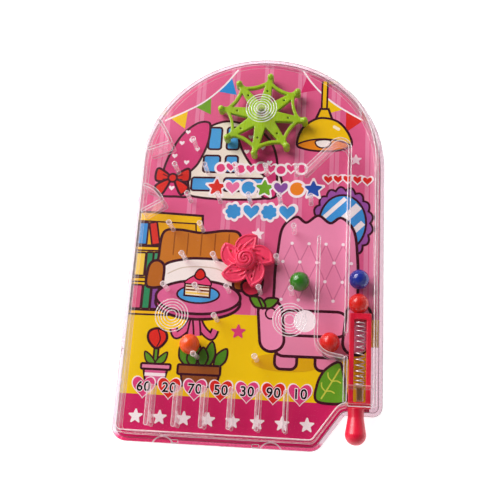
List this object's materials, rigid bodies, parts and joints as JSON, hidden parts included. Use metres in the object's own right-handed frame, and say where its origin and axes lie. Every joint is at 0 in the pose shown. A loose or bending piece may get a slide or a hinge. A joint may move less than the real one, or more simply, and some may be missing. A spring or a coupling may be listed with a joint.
{
  "type": "hand-held pinball toy",
  "caption": "Flat arched hand-held ball-shooting toy: clear case over a printed card, with pegs, spinners, score slots, spring plunger and loose balls.",
  "frame": {"origin": "centre of the case outline at the back face that the toy lies on", "axes": "+Z out of the front cover, +Y from the score slots up to the arch, +X towards the launching lane"},
  "size_m": [0.105, 0.169, 0.0134],
  "materials": {
    "clear_case": "clear injection-moulded polystyrene, glossy",
    "printed_card": "coated card with offset print, satin",
    "lime_plastic": "moulded polypropylene, semi-gloss",
    "coral_plastic": "moulded polypropylene, semi-gloss",
    "crimson_plastic": "moulded polystyrene, gloss",
    "spring_wire": "drawn and plated spring steel",
    "blue_ball": "moulded ball, gloss",
    "green_ball": "moulded ball, gloss",
    "orange_ball": "moulded ball, gloss",
    "red_ball": "moulded ball, gloss"
  },
  "bodies": {
    "case": {"back_tray": "clear_case", "flange_beads": "clear_case", "flower_pin": "clear_case", "front_cover": "clear_case", "lane_wall": "clear_case", "lone_pegs": "clear_case", "lower_deflector": "clear_case", "peg_row_1": "clear_case", "peg_row_2": "clear_case", "peg_row_3": "clear_case", "peg_row_4": "clear_case", "peg_row_5": "clear_case", "plunger_guide": "clear_case", "plunger_port": "clear_case", "plunger_spring": "spring_wire", "pocket_wall": "clear_case", "print_card": "printed_card", "ring_mark_left": "clear_case", "ring_mark_right": "clear_case", "ring_mark_top": "clear_case", "score_dividers": "clear_case", "spring_stop": "clear_case", "upper_deflector": "clear_case", "web_pin": "clear_case"},
    "plunger_body": {"plunger": "crimson_plastic"},
    "web_body": {"web_spinner": "lime_plastic"},
    "flower_body": {"flower_spinner": "coral_plastic"},
    "lane_ball_red": {"ball_red_lane": "red_ball"},
    "lane_ball_blue": {"ball_blue": "blue_ball"},
    "pocket_ball": {"ball_red_pocket": "red_ball"},
    "green_ball_body": {"ball_green": "green_ball"},
    "orange_ball_body": {"ball_orange": "orange_ball"}
  },
  "joints": [
    {"name": "plunger_slide", "type": "slide", "parent": "case", "child": "plunger_body", "axis": [0, -1, 0], "range_m": [0, 0.015], "stiffness_N_per_m": 90, "springref_m": -0.006, "deforming": ["plunger_spring"]},
    {"name": "web_turn", "type": "hinge", "parent": "case", "child": "web_body", "pos_m": [0, 0.05505, 0.0059], "axis": [0, 0, 1], "continuous": true},
    {"name": "flower_turn", "type": "hinge", "parent": "case", "child": "flower_body", "pos_m": [-0.00329, -0.01065, 0.005], "axis": [0, 0, 1], "continuous": true},
    {"name": "lane_red_roll", "type": "slide", "parent": "case", "child": "lane_ball_red", "axis": [0, 1, 0], "range_m": [0, 0.048]},
    {"name": "lane_blue_roll", "type": "slide", "parent": "case", "child": "lane_ball_blue", "axis": [0, 1, 0], "range_m": [0, 0.048]},
    {"name": "pocket_roll", "type": "slide", "parent": "case", "child": "pocket_ball", "axis": [0, 1, 0], "range_m": [0, 0.037]},
    {"name": "green_roll", "type": "slide", "parent": "case", "child": "green_ball_body", "axis": [0, 1, 0], "range_m": [0, 0.017]},
    {"name": "orange_roll", "type": "slide", "parent": "case", "child": "orange_ball_body", "axis": [0, 1, 0], "range_m": [0, 0.017]}
  ],
  "couplings": [
    {"joint": "lane_blue_roll", "follows": "lane_red_roll", "ratio": 1}
  ]
}
